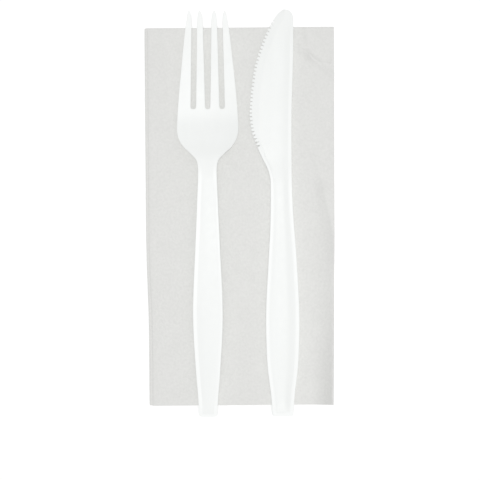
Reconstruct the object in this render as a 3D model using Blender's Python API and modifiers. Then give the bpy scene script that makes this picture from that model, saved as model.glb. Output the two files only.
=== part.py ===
# A moulded plastic fork and knife lying on a folded paper napkin.
# Metres, Z up. The origin is the middle of the setting's footprint, on the surface it lies on.
# Both pieces of cutlery point along +Y, and the knife's cutting edge faces the fork.

import math

import bmesh
import bpy
from mathutils import Vector

MM = 0.001

# The napkin is one square sheet, folded in half three times.
SHEET_SIDE = 330.0 * MM
PAPER = 0.11 * MM  # two plies, pressed together
LAYER_GAP = 0.07 * MM  # air between two folded layers
FOLD_STEPS = 6  # facets round a fold
SPRING_STEPS = 4  # facets where the sprung layers settle
LAST_FOLD_SPRING = 0.9 * MM  # how much wider the last fold stands open at the lower end
SPRING_REACH = 7.0 * MM  # from the last fold to where its layers lie flat again
OUT_OF_SQUARE = 1.45 * MM  # how much narrower the folded napkin is at its lower end
NAPKIN_TURN = math.radians(0.46)

# How the cutlery lies on the napkin.
SEAT_GAP = 0.3 * MM
FORK_OVERHANG = 4.75 * MM  # how far the handles reach past the napkin's lower edge
KNIFE_OVERHANG = 4.4 * MM
FORK_ACROSS = -14.5 * MM  # the fork's axis, from the napkin's middle
FORK_TURN = math.radians(0.14)
HEAD_TO_BLADE = 4.95 * MM  # the gap between the fork's head and the knife's teeth
KNIFE_TURN = math.radians(0.15)

# How far a cutter runs past what it cuts.
OVERRUN = 3.0 * MM

# Two sections of a moulding are never closer together than this.
SECTION_SPACING = 0.1 * MM

# The fork, in lengths from the butt of its handle and in half widths from its axis.
FORK_LENGTH = 175.3 * MM
FORK_BUTT_HALF = 4.1 * MM
FORK_SWELL_HALF = 6.45 * MM
FORK_SWELL_AT = 44.5 * MM
FORK_NECK_HALF = 4.0 * MM
FORK_BUTT_RADIUS = 1.4 * MM
HEAD_HALF = 13.3 * MM
HEAD_DRAFT = 0.1 * MM
HEAD_LENGTH = 68.1 * MM  # from the neck to the tips of the tines
SHOULDER_LENGTH = 17.5 * MM  # the part of the head that widens
# Along the shoulder: shares of its length, and of the width gained.
SHOULDER = ((0.22, 0.055), (0.42, 0.39), (0.62, 0.76), (0.82, 0.94))
# Past the shoulder: shares of the length that is left, and of the half width that is lost.
HEAD_TAPER = ((0.22, 0.04), (0.56, 0.165))
TINE_LENGTH = 41.3 * MM
TINE_POINT = 3.4 * MM  # the part of a tine that comes to a point
POINT_SHOULDER = 0.35  # how much of its width a point has lost two thirds of the way along
POINT_HALF = 0.25 * MM
OUTER_TIP_HALF = 1.05 * MM  # half the outer tine's width where its point begins
POINT_DEPTH = 0.8 * MM
OUTER_TIP_AT = 7.7 * MM
INNER_TIP_AT = 3.1 * MM
FORK_RISE = 7.4 * MM  # the top of the arched neck
HANDLE_ARCH = ((30.0 * MM, 0.3), (60.0 * MM, 0.63))  # places along the handle, and shares of the rise
TIP_RISE = 8.0 * MM
# Shares of the head's length, with shares of the fall to the bowl and of the rise to the tips.
NECK_FALL = ((0.06, 0.84), (0.2, 0.36), (0.36, 0.0))
TINE_LIFT = ((0.46, 0.06), (0.66, 0.37), (1.0, 1.0))
DISH_DEPTH = 1.7 * MM
DISH_LENGTH = 16.0 * MM  # from the neck to where the head is fully dished
TIP_FLATTENING = 0.8  # the share of the dish that is gone at the tips
FORK_WALL = 1.4 * MM
TINE_DEPTH = 2.0 * MM
TINE_THICKENING = 8.0 * MM  # how far before the slots the wall starts to grow to that depth

# Each slot's two sides, from the fork's axis: at its root, and where the points begin.
CENTRE_SLOT_ROOT = 1.1 * MM
CENTRE_SLOT_MOUTH = 1.86 * MM
OUTER_SLOT_ROOT = (5.1 * MM, 7.45 * MM)
OUTER_SLOT_MOUTH = (4.26 * MM, 6.6 * MM)
SLOT_FACETS = 9  # round a slot's end
SLOT_MARGIN = 0.4 * MM  # from the last whole section to the slots

# The moulded channel that both handles share: a web between two flanges, open below.
CHANNEL_DEPTH = 3.7 * MM
FLANGE_WALL = 1.1 * MM
FLANGE_DRAFT = 0.35 * MM
END_WALL = 1.2 * MM
END_STEP = 0.5 * MM  # how far along the handle the end wall's inner face slopes
END_DRAFT = 0.4 * MM
END_DRAFT_REACH = 3.0 * MM
WEB = 1.3 * MM
WEB_CORNER = 0.2 * MM  # the sloping corner between a flange and the web
EDGE_CHAMFER = 0.3 * MM
NECK_BEFORE = 5.0 * MM  # the channel closes and the section changes from here before the neck
NECK_AFTER = 10.0 * MM  # to here past it
FORK_RIM = 1.3 * MM
FORK_RECESS = 0.35 * MM
PANEL_START = 3.0 * MM  # where the sunken panel begins, from the butt
PANEL_RAMP = 6.0 * MM
RIM_SLOPE = 0.4 * MM

# The knife, in lengths from its butt, with the cutting edge on the -X side of its axis.
KNIFE_LENGTH = 177.2 * MM
KNIFE_BUTT_HALF = 4.65 * MM
KNIFE_SWELL_HALF = 7.3 * MM
KNIFE_SWELL_AT = 42.0 * MM
KNIFE_NECK_HALF = 5.1 * MM
KNIFE_BUTT_RADIUS = 1.3 * MM
BLADE_LENGTH = 75.4 * MM  # from the neck to the tip
CHOIL_LENGTH = 14.9 * MM  # from the neck to the first tooth
BLADE_REACH = 14.05 * MM  # from the axis to the deepest teeth
# The cutting side's curve, in shares of the blade's length and reach.
BLADE_CHOIL = ((0.08, 0.45), (0.127, 0.577), (0.225, 0.808), (0.312, 0.961))
BLADE_BELLY = ((0.405, 1.0), (0.635, 0.876), (0.764, 0.688), (0.906, 0.37), (0.97, 0.13), (0.992, -0.03))
SPINE_REACH = 4.15 * MM  # from the axis to the back of the blade, at its heel
SPINE_FLARE = 0.95 * MM  # how much further back the spine stands near the tip
TIP_RADIUS = 3.7 * MM
TIP_THINNING = 0.3  # the share of its depth that the blade loses towards the tip
TIP_THINNING_LENGTH = 25.0 * MM
KNIFE_DEPTH = 4.0 * MM
KNIFE_RIM = 2.0 * MM
KNIFE_RECESS = 0.35 * MM
KNIFE_PANEL_SAG = 0.45 * MM
SPINE_DEPTH = 2.6 * MM
SPINE_SLOPE = 1.3 * MM  # how wide the slope from the plate up to the back is
SPINE_FADE = (14.0 * MM, 3.0 * MM)  # where the thick back runs out into the plate, from the tip
BLADE_PLATE = 1.5 * MM
GRIND_WIDTH = 4.2 * MM  # from the cutting edge to the full plate
EDGE_DEPTH = 0.6 * MM

# The serration.
TOOTH_PITCH = 1.65 * MM
TOOTH_DEPTH = 1.0 * MM
NOTCH_MOUTH = 1.05 * MM
NOTCH_ROOT = 0.3 * MM
TEETH_FROM_TIP = 5.0 * MM

PLASTIC_COLOUR = (0.88, 0.90, 0.89)
PAPER_COLOUR = (0.75, 0.75, 0.735)


def blend(low, high, share):
    return low + (high - low) * share


def ease(place, start, end):
    """0 before start, 1 after end, with a smooth turn at both."""
    share = min(max((place - start) / (end - start), 0.0), 1.0)
    return share**3 * (10 - 15 * share + 6 * share**2)


def curve_through(points):
    """A smooth curve through (place, size) points that doesn't overshoot between them."""
    places = [p[0] for p in points]
    sizes = [p[1] for p in points]
    slopes = [(sizes[i + 1] - sizes[i]) / (places[i + 1] - places[i]) for i in range(len(points) - 1)]
    turns = [slopes[0]]
    for before, after in zip(slopes, slopes[1:]):
        turns.append(2 * before * after / (before + after) if before * after > 0 else 0.0)
    turns.append(slopes[-1])

    def size_at(place):
        place = min(max(place, places[0]), places[-1])
        i = max(k for k in range(len(slopes)) if places[k] <= place)
        run = places[i + 1] - places[i]
        t = (place - places[i]) / run
        return (
            (2 * t**3 - 3 * t**2 + 1) * sizes[i]
            + (t**3 - 2 * t**2 + t) * run * turns[i]
            + (3 * t**2 - 2 * t**3) * sizes[i + 1]
            + (t**3 - t**2) * run * turns[i + 1]
        )

    return size_at


def round_corner(distance, radius):
    """How far a round corner is cut back from the side, at a distance from the end."""
    left = max(radius - distance, 0.0)
    return radius - math.sqrt(radius**2 - left**2)


def steps(start, end, count):
    return [blend(start, end, k / count) for k in range(count)]


def in_order(places):
    """Places from low to high, without those that nearly repeat the one before."""
    kept = []
    for place in sorted(places):
        if not kept or place - kept[-1] > SECTION_SPACING:
            kept.append(place)
    return kept


def clear_scene():
    for old in list(bpy.data.objects):
        bpy.data.objects.remove(old, do_unlink=True)


def new_collection(name):
    group = bpy.data.collections.new(name)
    bpy.context.scene.collection.children.link(group)
    return group


def new_material(name, colour, roughness):
    material = bpy.data.materials.new(name)
    material.use_nodes = True
    shader = material.node_tree.nodes["Principled BSDF"]
    shader.inputs["Base Color"].default_value = (*colour, 1.0)
    shader.inputs["Roughness"].default_value = roughness
    shader.inputs["Metallic"].default_value = 0.0
    return material


def mesh_object(name, body, group, material=None):
    """An object from a bmesh, with its faces turned outwards."""
    bmesh.ops.recalc_face_normals(body, faces=body.faces)
    mesh = bpy.data.meshes.new(name)
    body.to_mesh(mesh)
    body.free()
    piece = bpy.data.objects.new(name, mesh)
    group.objects.link(piece)
    if material:
        mesh.materials.append(material)
    return piece


def cap(body, upper, lower):
    """Triangles between a section's upper and lower lines, both from left to right."""
    i = j = 0
    while i < len(upper) - 1 or j < len(lower) - 1:
        take_upper = i < len(upper) - 1
        if take_upper and j < len(lower) - 1:
            take_upper = upper[i + 1].co.x <= lower[j + 1].co.x
        if take_upper:
            body.faces.new((upper[i], upper[i + 1], lower[j]))
            i += 1
        else:
            body.faces.new((upper[i], lower[j + 1], lower[j]))
            j += 1


def loft(name, sections, group, material):
    """A closed solid through a row of sections, each an upper and a lower line from left to right."""
    body = bmesh.new()
    rows = []
    for section in sections:
        rows.append([[body.verts.new(point) for point in line] for line in section])
    rings = [[*upper, *reversed(lower)] for upper, lower in rows]
    for near, far in zip(rings, rings[1:]):
        for i in range(len(near)):
            j = (i + 1) % len(near)
            body.faces.new((near[i], near[j], far[j], far[i]))
    cap(body, *rows[0])
    cap(body, *rows[-1])
    bmesh.ops.triangulate(body, faces=body.faces)
    return mesh_object(name, body, group, material)


def prisms(name, outlines, bottom, top, group):
    """Upright cutters, one for each outline of (x, y) points."""
    body = bmesh.new()
    for outline in outlines:
        floor = [body.verts.new((x, y, bottom)) for x, y in outline]
        roof = [body.verts.new((x, y, top)) for x, y in outline]
        body.faces.new(floor)
        body.faces.new(roof)
        for i in range(len(outline)):
            j = (i + 1) % len(outline)
            body.faces.new((floor[i], floor[j], roof[j], roof[i]))
    cutter = mesh_object(name, body, group)
    cutter.hide_render = True
    cutter.display_type = "WIRE"
    return cutter


def cut(piece, cutter):
    boolean = piece.modifiers.new(cutter.name, "BOOLEAN")
    boolean.operation = "DIFFERENCE"
    boolean.solver = "EXACT"
    boolean.object = cutter


def shade(piece, angle=35):
    piece.data.shade_smooth()
    piece.data.set_sharp_from_angle(angle=math.radians(angle))


# The napkin


def stack_depth(layers):
    return layers * PAPER + (layers - 1) * LAYER_GAP


def fold_over(place, height, crease, layers, spring=0.0):
    """Where a point of the sheet goes when all that lies past the crease is folded over the rest."""
    radius = stack_depth(layers) + LAYER_GAP / 2 + spring - height
    past = place - crease
    if past <= 0:
        return place, height
    if past < math.pi * radius:
        angle = past / radius
        return crease + radius * math.sin(angle), height + radius * (1 - math.cos(angle))
    return crease - (past - math.pi * radius), height + 2 * radius


def fold_places(crease, radius):
    """Places along the sheet that divide a fold of this radius into even facets."""
    return [crease + math.pi * radius * k / FOLD_STEPS for k in range(FOLD_STEPS + 1)]


def lower_share(length_place):
    """0 at the napkin's upper end and 1 at its lower end."""
    return 1 - min(max(length_place / (SHEET_SIDE / 2), 0.0), 1.0)


def last_fold(length_place):
    """The last fold's spring and its crease, at a place along the napkin's length."""
    spring = LAST_FOLD_SPRING * lower_share(length_place) ** 2
    middle = (stack_depth(4) + LAYER_GAP) / 2
    crease = SHEET_SIDE / 4 - math.pi / 2 * (middle + spring)
    return spring, crease


def napkin_row(sheet_y):
    """The folded sheet's middle surface along one line across the flat sheet."""
    half = SHEET_SIDE / 2
    low, high = PAPER / 2, 1.5 * PAPER + LAYER_GAP
    tight = (PAPER + LAYER_GAP) / 2

    def widths(height):
        place_y, after = fold_over(sheet_y, height, half, 2)
        spring, crease = last_fold(place_y)
        turn = fold_places(crease, stack_depth(4) + LAYER_GAP / 2 + spring - after)
        settling = [turn[-1] + SPRING_REACH * k / SPRING_STEPS for k in range(1, SPRING_STEPS + 1)]
        return [half / 4, *turn, *settling]

    turn = [fold_over(x, low, half, 1) for x in fold_places(half, tight)]
    lower = [(x, low) for x in [0.0, *widths(low)]]
    upper = [(x, high) for x in [*reversed(widths(high)), math.pi * tight]]
    row = []
    for x, height in [*lower, *turn, *upper]:
        y, height = fold_over(sheet_y, height, half, 2)
        spring, crease = last_fold(y)
        x, height = fold_over(x, height, crease, 4, spring)
        if height > stack_depth(4) + LAYER_GAP / 2 + spring:
            height -= 2 * spring * ease(crease - x, 0, SPRING_REACH)
        x *= 1 - OUT_OF_SQUARE * lower_share(y) / (SHEET_SIDE / 4)
        row.append((x, y, height))
    return row


def make_napkin(group, material):
    """The sheet's middle surface, folded, and given its paper's thickness."""
    half = SHEET_SIDE / 2
    outer = stack_depth(2) + LAYER_GAP / 2 - PAPER / 2
    inner = outer - PAPER - LAYER_GAP
    folds = sorted({*fold_places(half, outer), *fold_places(half, inner)[1:]})
    flats = steps(0.0, half, 6)
    rows_y = [*flats, *folds, *steps(SHEET_SIDE, folds[-1], 6)[::-1]]
    body = bmesh.new()
    rows = [[body.verts.new(point) for point in napkin_row(y)] for y in rows_y]
    for near, far in zip(rows, rows[1:]):
        for i in range(len(near) - 1):
            body.faces.new((near[i], near[i + 1], far[i + 1], far[i]))
    bmesh.ops.translate(body, verts=body.verts, vec=(-half / 4, -half / 2, 0))
    napkin = mesh_object("napkin", body, group, material)
    wall = napkin.modifiers.new("paper", "SOLIDIFY")
    wall.thickness = PAPER
    wall.offset = 0.0
    shade(napkin, 50)
    napkin.rotation_euler.z = NAPKIN_TURN
    return napkin


# The fork


def fork_half(place):
    """Half the fork's width at a place along it."""
    neck = FORK_LENGTH - HEAD_LENGTH
    grip = curve_through(
        [
            (0.0, FORK_BUTT_HALF),
            (FORK_SWELL_AT * 0.11, blend(FORK_BUTT_HALF, FORK_SWELL_HALF, 0.02)),
            (FORK_SWELL_AT * 0.44, blend(FORK_BUTT_HALF, FORK_SWELL_HALF, 0.48)),
            (FORK_SWELL_AT, FORK_SWELL_HALF),
            (blend(FORK_SWELL_AT, neck, 0.5), blend(FORK_NECK_HALF, FORK_SWELL_HALF, 0.5)),
            (blend(FORK_SWELL_AT, neck, 0.8), blend(FORK_NECK_HALF, FORK_SWELL_HALF, 0.17)),
            (neck, FORK_NECK_HALF),
        ]
    )
    widest = neck + SHOULDER_LENGTH
    head = curve_through(
        [
            (neck, FORK_NECK_HALF),
            *[(blend(neck, widest, at), blend(FORK_NECK_HALF, HEAD_HALF, share)) for at, share in SHOULDER],
            (widest, HEAD_HALF),
            *[(blend(widest, FORK_LENGTH, along), HEAD_HALF * (1 - lost)) for along, lost in HEAD_TAPER],
            (FORK_LENGTH - TINE_POINT, OUTER_TIP_AT + OUTER_TIP_HALF),
            (FORK_LENGTH, OUTER_TIP_AT + POINT_HALF),
        ]
    )
    if place < neck:
        return grip(place) - round_corner(place, FORK_BUTT_RADIUS)
    return head(place)


def fork_top(place):
    """The height of the fork's upper surface along its axis, above what the fork lies on."""
    neck = FORK_LENGTH - HEAD_LENGTH
    return curve_through(
        [
            (0.0, CHANNEL_DEPTH),
            *[(along, blend(CHANNEL_DEPTH, FORK_RISE, share)) for along, share in HANDLE_ARCH],
            (neck - NECK_BEFORE, FORK_RISE),
            *[(neck + at * HEAD_LENGTH, blend(FORK_WALL, FORK_RISE, share)) for at, share in NECK_FALL],
            *[(neck + at * HEAD_LENGTH, blend(FORK_WALL, TIP_RISE, share)) for at, share in TINE_LIFT],
        ]
    )(place)


def fork_section(place):
    """The fork's section: a channel along the handle that opens into the dished head."""
    neck = FORK_LENGTH - HEAD_LENGTH
    root = FORK_LENGTH - TINE_LENGTH
    channel = 1 - ease(place, neck - NECK_BEFORE, neck + NECK_AFTER)
    hollow = channel * ease(place, END_WALL, END_WALL + END_STEP)
    panel_end = 1 - ease(place, neck - 2 * NECK_BEFORE, neck)
    recess = FORK_RECESS * panel_end * ease(place, PANEL_START, PANEL_START + PANEL_RAMP)
    flattening = 1 - TIP_FLATTENING * ease(place, root, FORK_LENGTH)
    dish = DISH_DEPTH * ease(place, neck, neck + DISH_LENGTH) * flattening
    wall = blend(FORK_WALL, TINE_DEPTH, ease(place, root - TINE_THICKENING, root))
    wall = blend(wall, POINT_DEPTH, ease(place, root, FORK_LENGTH))
    depth = blend(wall, CHANNEL_DEPTH, channel)
    half, crown = fork_half(place), fork_top(place)
    draft = blend(HEAD_DRAFT, FLANGE_DRAFT, channel)
    side = half - draft
    rim = min(FORK_RIM, side * 0.3)
    panel = side - rim - RIM_SLOPE

    def top(x):
        return crown + dish * (x / side) ** 2

    upper = [
        (side, top(side) - EDGE_CHAMFER),
        (side - EDGE_CHAMFER, top(side - EDGE_CHAMFER)),
        (side - rim, top(side - rim)),
        (panel, top(panel) - recess),
        (panel * 0.66, top(panel * 0.66) - recess),
        (panel * 0.33, top(panel * 0.33) - recess),
    ]
    web = blend(wall, WEB, channel)
    inner = side - FLANGE_WALL
    floor = crown - depth
    lower = [
        (half, blend(top(half) - wall, floor, channel)),
        (half - FLANGE_WALL, blend(top(half - FLANGE_WALL) - wall, floor, channel)),
    ]
    for share in (1.0, 0.66, 0.33, 0.0):
        x = share * (inner - WEB_CORNER)
        lower.append((x, blend(blend(top(x) - wall, floor, channel), top(x) - recess - web, hollow)))
    right = [*reversed(upper)]
    upper = [*[(-x, z) for x, z in upper], (0.0, top(0.0) - recess), *right]
    lower = [*[(-x, z) for x, z in lower], *reversed(lower[:-1])]
    near_end = max(0.0, 1 - place / END_DRAFT_REACH) * END_DRAFT / CHANNEL_DEPTH
    return [[(x, place + near_end * (z - floor), z) for x, z in line] for line in (upper, lower)]


def fork_stations():
    neck = FORK_LENGTH - HEAD_LENGTH
    last_whole = FORK_LENGTH - TINE_LENGTH - SLOT_MARGIN
    places = [
        0.0,
        *[FORK_BUTT_RADIUS * share for share in (0.12, 0.4, 0.75)],
        *[END_WALL + END_STEP * share for share in (0.5, 1.0)],
        *steps(PANEL_START, PANEL_START + PANEL_RAMP, 2),
        *steps(PANEL_START + PANEL_RAMP, neck - 2 * NECK_BEFORE, 14),
        *steps(neck - 2 * NECK_BEFORE, neck, 4),
        *steps(neck, neck + SHOULDER_LENGTH, 11),
        *steps(neck + SHOULDER_LENGTH, last_whole, 4),
        *steps(last_whole, FORK_LENGTH - TINE_POINT, 8),
        *steps(FORK_LENGTH - TINE_POINT, FORK_LENGTH, 3),
        FORK_LENGTH,
    ]
    return in_order(places)


def slot_outline(root_sides, mouth_sides, tip_sides):
    """A slot between two tines: a round root, straight sides, and a flare between two points."""
    root = FORK_LENGTH - TINE_LENGTH
    points = FORK_LENGTH - TINE_POINT
    shoulder = FORK_LENGTH - TINE_POINT / 3
    near, far = root_sides
    radius = (far - near) / 2
    middle = (far + near) / 2
    outline = []
    for k in range(SLOT_FACETS + 1):
        angle = math.pi + math.pi * k / SLOT_FACETS
        outline.append((middle + radius * math.cos(angle), root + radius + radius * math.sin(angle)))
    flare = [(points, 0.0), (shoulder, POINT_SHOULDER), (FORK_LENGTH, 1.0), (FORK_LENGTH + OVERRUN, 1.0)]
    for place, share in flare:
        outline.append((blend(mouth_sides[1], tip_sides[1], share), place))
    for place, share in reversed(flare):
        outline.append((blend(mouth_sides[0], tip_sides[0], share), place))
    return outline


def make_fork(group, cutters, material):
    sections = [fork_section(place) for place in fork_stations()]
    fork = loft("fork", sections, group, material)
    centre_tips = INNER_TIP_AT - POINT_HALF
    outer_tips = (INNER_TIP_AT + POINT_HALF, OUTER_TIP_AT - POINT_HALF)
    centre = slot_outline(
        (-CENTRE_SLOT_ROOT, CENTRE_SLOT_ROOT),
        (-CENTRE_SLOT_MOUTH, CENTRE_SLOT_MOUTH),
        (-centre_tips, centre_tips),
    )
    right = slot_outline(OUTER_SLOT_ROOT, OUTER_SLOT_MOUTH, outer_tips)
    left = [(-x, y) for x, y in right]
    top = TIP_RISE + DISH_DEPTH + OVERRUN
    slots = prisms("fork_slots", [left, centre, right], -OVERRUN, top, cutters)
    cut(fork, slots)
    shade(fork)
    return fork, slots


# The knife


def edge_line(place):
    """The knife's cutting side: the handle's left side, the choil, and the curve of the blade."""
    neck = KNIFE_LENGTH - BLADE_LENGTH
    blade = [*BLADE_CHOIL, *BLADE_BELLY]
    return curve_through(
        [
            (0.0, -KNIFE_BUTT_HALF),
            (KNIFE_SWELL_AT * 0.17, -blend(KNIFE_BUTT_HALF, KNIFE_SWELL_HALF, 0.1)),
            (KNIFE_SWELL_AT * 0.58, -blend(KNIFE_BUTT_HALF, KNIFE_SWELL_HALF, 0.84)),
            (KNIFE_SWELL_AT, -KNIFE_SWELL_HALF),
            (blend(KNIFE_SWELL_AT, neck, 0.45), -blend(KNIFE_NECK_HALF, KNIFE_SWELL_HALF, 0.42)),
            (blend(KNIFE_SWELL_AT, neck, 0.75), -blend(KNIFE_NECK_HALF, KNIFE_SWELL_HALF, 0.03)),
            (neck, -KNIFE_NECK_HALF),
            *[(neck + along * BLADE_LENGTH, -BLADE_REACH * share) for along, share in blade],
            (KNIFE_LENGTH, SPINE_REACH - TIP_RADIUS),
        ]
    )(place)


def back_line(place):
    """The knife's back: the handle's right side and the blade's spine, round at the tip."""
    neck = KNIFE_LENGTH - BLADE_LENGTH
    side = curve_through(
        [
            (0.0, KNIFE_BUTT_HALF),
            (KNIFE_SWELL_AT * 0.17, blend(KNIFE_BUTT_HALF, KNIFE_SWELL_HALF, 0.12)),
            (KNIFE_SWELL_AT * 0.58, blend(KNIFE_BUTT_HALF, KNIFE_SWELL_HALF, 0.83)),
            (KNIFE_SWELL_AT, KNIFE_SWELL_HALF),
            (blend(KNIFE_SWELL_AT, neck, 0.43), blend(SPINE_REACH, KNIFE_SWELL_HALF, 0.65)),
            (blend(KNIFE_SWELL_AT, neck, 0.87), blend(SPINE_REACH, KNIFE_SWELL_HALF, 0.08)),
            (neck + BLADE_LENGTH * 0.066, SPINE_REACH),
            (neck + BLADE_LENGTH * 0.36, SPINE_REACH + SPINE_FLARE * 0.03),
            (neck + BLADE_LENGTH * 0.727, SPINE_REACH + SPINE_FLARE * 0.8),
            (KNIFE_LENGTH - TIP_RADIUS, SPINE_REACH + SPINE_FLARE),
        ]
    )(place)
    return side - round_corner(KNIFE_LENGTH - place, TIP_RADIUS)


def knife_section(place):
    """The knife's section: a rimmed channel in the handle, a thin plate with a thick back in the blade."""
    neck = KNIFE_LENGTH - BLADE_LENGTH
    heel = neck + CHOIL_LENGTH
    handle = 1 - ease(place, neck - NECK_BEFORE, heel)
    cutting_rim = 1 - ease(place, neck + CHOIL_LENGTH * 0.25, neck + CHOIL_LENGTH * 1.2)
    hollow = handle * ease(place, END_WALL, END_WALL + END_STEP)
    recess = KNIFE_RECESS * ease(place, END_WALL, 2 * END_WALL)
    middle = SPINE_DEPTH / 2
    thinning = 1 - TIP_THINNING * ease(place, KNIFE_LENGTH - TIP_THINNING_LENGTH, KNIFE_LENGTH)
    plate_half = BLADE_PLATE / 2 * thinning
    faded = ease(place, KNIFE_LENGTH - SPINE_FADE[0], KNIFE_LENGTH - SPINE_FADE[1])
    spine_half = blend(middle * thinning, plate_half, faded)
    back_half = blend(spine_half, KNIFE_DEPTH - middle, handle)
    left = edge_line(place) + round_corner(place, KNIFE_BUTT_RADIUS)
    right = back_line(place) - round_corner(place, KNIFE_BUTT_RADIUS * 0.6)
    wanted = GRIND_WIDTH + KNIFE_RIM + 3 * RIM_SLOPE + SPINE_SLOPE + 2 * EDGE_CHAMFER
    fit = min(1.0, (right - left) / wanted)
    rim_left = blend(GRIND_WIDTH, KNIFE_RIM, cutting_rim) * fit
    rim_right = KNIFE_RIM * fit
    slope = RIM_SLOPE * fit
    back_slope = blend(SPINE_SLOPE, RIM_SLOPE, handle) * fit
    chamfer = EDGE_CHAMFER * fit
    draft = FLANGE_DRAFT * handle

    panel = blend(middle + plate_half, KNIFE_DEPTH - recess, handle)
    edge_top = blend(middle + EDGE_DEPTH / 2 * thinning, KNIFE_DEPTH, cutting_rim)
    rim_top = blend(panel, KNIFE_DEPTH, cutting_rim)
    back_top = middle + back_half
    panel_left = left + draft + rim_left + slope
    panel_right = right - draft - rim_right - back_slope
    sag = KNIFE_PANEL_SAG * handle * ease(place, 2 * END_WALL, 2 * END_WALL + PANEL_RAMP)
    upper = [
        (left + draft, edge_top - chamfer * cutting_rim),
        (left + draft + chamfer, edge_top),
        (left + draft + rim_left, rim_top),
        (panel_left, panel),
        (blend(panel_left, panel_right, 0.33), panel - sag),
        (blend(panel_left, panel_right, 0.67), panel - sag),
        (panel_right, panel),
        (right - draft - rim_right, back_top),
        (right - draft - chamfer, back_top),
        (right - draft, back_top - chamfer),
    ]
    handle_floor = blend(middle - plate_half, 0.0, handle)
    back_floor = blend(middle - spine_half, 0.0, handle)
    web_floor = blend(handle_floor, panel - WEB, hollow)
    edge_floor = blend(middle - EDGE_DEPTH / 2 * thinning, 0.0, cutting_rim)
    rim_floor = blend(middle - plate_half, 0.0, cutting_rim)
    wall_left = blend(rim_left, FLANGE_WALL, handle)
    wall_right = blend(rim_right, FLANGE_WALL, handle)
    inner_left = left + wall_left + slope
    inner_right = right - wall_right - back_slope
    lower = [
        (left, edge_floor),
        (left + wall_left, rim_floor),
        (inner_left, web_floor),
        (blend(inner_left, inner_right, 0.33), web_floor),
        (blend(inner_left, inner_right, 0.67), web_floor),
        (inner_right, web_floor),
        (right - wall_right, back_floor),
        (right, back_floor),
    ]
    near_end = max(0.0, 1 - place / END_DRAFT_REACH) * END_DRAFT / KNIFE_DEPTH
    return [[(x, place + near_end * z, z) for x, z in line] for line in (upper, lower)]


def knife_stations():
    neck = KNIFE_LENGTH - BLADE_LENGTH
    panel = 2 * END_WALL
    heel = neck + CHOIL_LENGTH * 1.2
    tip = KNIFE_LENGTH
    places = [
        0.0,
        *[KNIFE_BUTT_RADIUS * share for share in (0.12, 0.4, 0.75)],
        *[END_WALL + END_STEP * share for share in (0.0, 0.5, 1.0)],
        *steps(panel, panel + PANEL_RAMP, 2),
        *steps(panel + PANEL_RAMP, neck - NECK_BEFORE, 14),
        *steps(neck - NECK_BEFORE, heel, 12),
        *steps(heel, tip - TEETH_FROM_TIP, 15),
        *steps(tip - TEETH_FROM_TIP, tip - TIP_RADIUS, 2),
        *[tip - TIP_RADIUS * share for share in (1.0, 0.7, 0.45, 0.25, 0.1)],
        tip,
    ]
    return in_order(places)


def notch_outlines():
    """One wedge for each gap between teeth, square to the edge and evenly spaced along it."""
    start = KNIFE_LENGTH - BLADE_LENGTH + CHOIL_LENGTH
    end = KNIFE_LENGTH - TEETH_FROM_TIP
    path = [Vector((edge_line(place), place)) for place in steps(start, end, 600)]
    outside = TOOTH_DEPTH / 2
    outlines = []
    walked, due = 0.0, TOOTH_PITCH / 2
    for here, there in zip(path, path[1:]):
        run = (there - here).length
        if walked + run >= due:
            along = (there - here) / run
            at = here + along * (due - walked)
            inward = Vector((along.y, -along.x))
            flare = (NOTCH_MOUTH - NOTCH_ROOT) / 2 / TOOTH_DEPTH * outside
            mouth = NOTCH_MOUTH / 2 + flare
            corners = [
                at - inward * outside - along * mouth,
                at + inward * TOOTH_DEPTH - along * NOTCH_ROOT / 2,
                at + inward * TOOTH_DEPTH + along * NOTCH_ROOT / 2,
                at - inward * outside + along * mouth,
            ]
            outlines.append([tuple(corner) for corner in corners])
            due += TOOTH_PITCH
        walked += run
    return outlines


def make_knife(group, cutters, material):
    sections = [knife_section(place) for place in knife_stations()]
    knife = loft("knife", sections, group, material)
    notches = prisms("knife_notches", notch_outlines(), -OVERRUN, KNIFE_DEPTH + OVERRUN, cutters)
    cut(knife, notches)
    shade(knife)
    return knife, notches


# The setting


def world_corners(pieces):
    """The lowest and highest corners of a group of finished pieces."""
    bpy.context.view_layer.update()
    graph = bpy.context.evaluated_depsgraph_get()
    points = []
    for piece in pieces:
        done = piece.evaluated_get(graph)
        points += [done.matrix_world @ vertex.co for vertex in done.data.vertices]
    low = Vector([min(p[k] for p in points) for k in range(3)])
    high = Vector([max(p[k] for p in points) for k in range(3)])
    return low, high


def main():
    clear_scene()
    parts = new_collection("cutlery_pack")
    cutters = new_collection("cutters")
    plastic = new_material("white_plastic", PLASTIC_COLOUR, 0.35)
    paper = new_material("tissue_paper", PAPER_COLOUR, 0.95)

    napkin = make_napkin(parts, paper)
    fork, slots = make_fork(parts, cutters, plastic)
    knife, notches = make_knife(parts, cutters, plastic)

    seat = stack_depth(8) + SEAT_GAP
    lower_edge = -SHEET_SIDE / 4
    knife_across = FORK_ACROSS + HEAD_HALF + HEAD_TO_BLADE + BLADE_REACH
    fork_foot = min(vertex.co.z for vertex in fork.data.vertices)
    for piece in (fork, slots):
        piece.location = (FORK_ACROSS, lower_edge - FORK_OVERHANG, seat - fork_foot)
        piece.rotation_euler.z = FORK_TURN
    for piece in (knife, notches):
        piece.location = (knife_across, lower_edge - KNIFE_OVERHANG, seat)
        piece.rotation_euler.z = KNIFE_TURN

    low, high = world_corners([napkin, fork, knife])
    setting = bpy.data.objects.new("setting", None)
    parts.objects.link(setting)
    setting.location = (-(low.x + high.x) / 2, -(low.y + high.y) / 2, -low.z)
    for piece in (napkin, fork, knife, slots, notches):
        piece.parent = setting


main()
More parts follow.
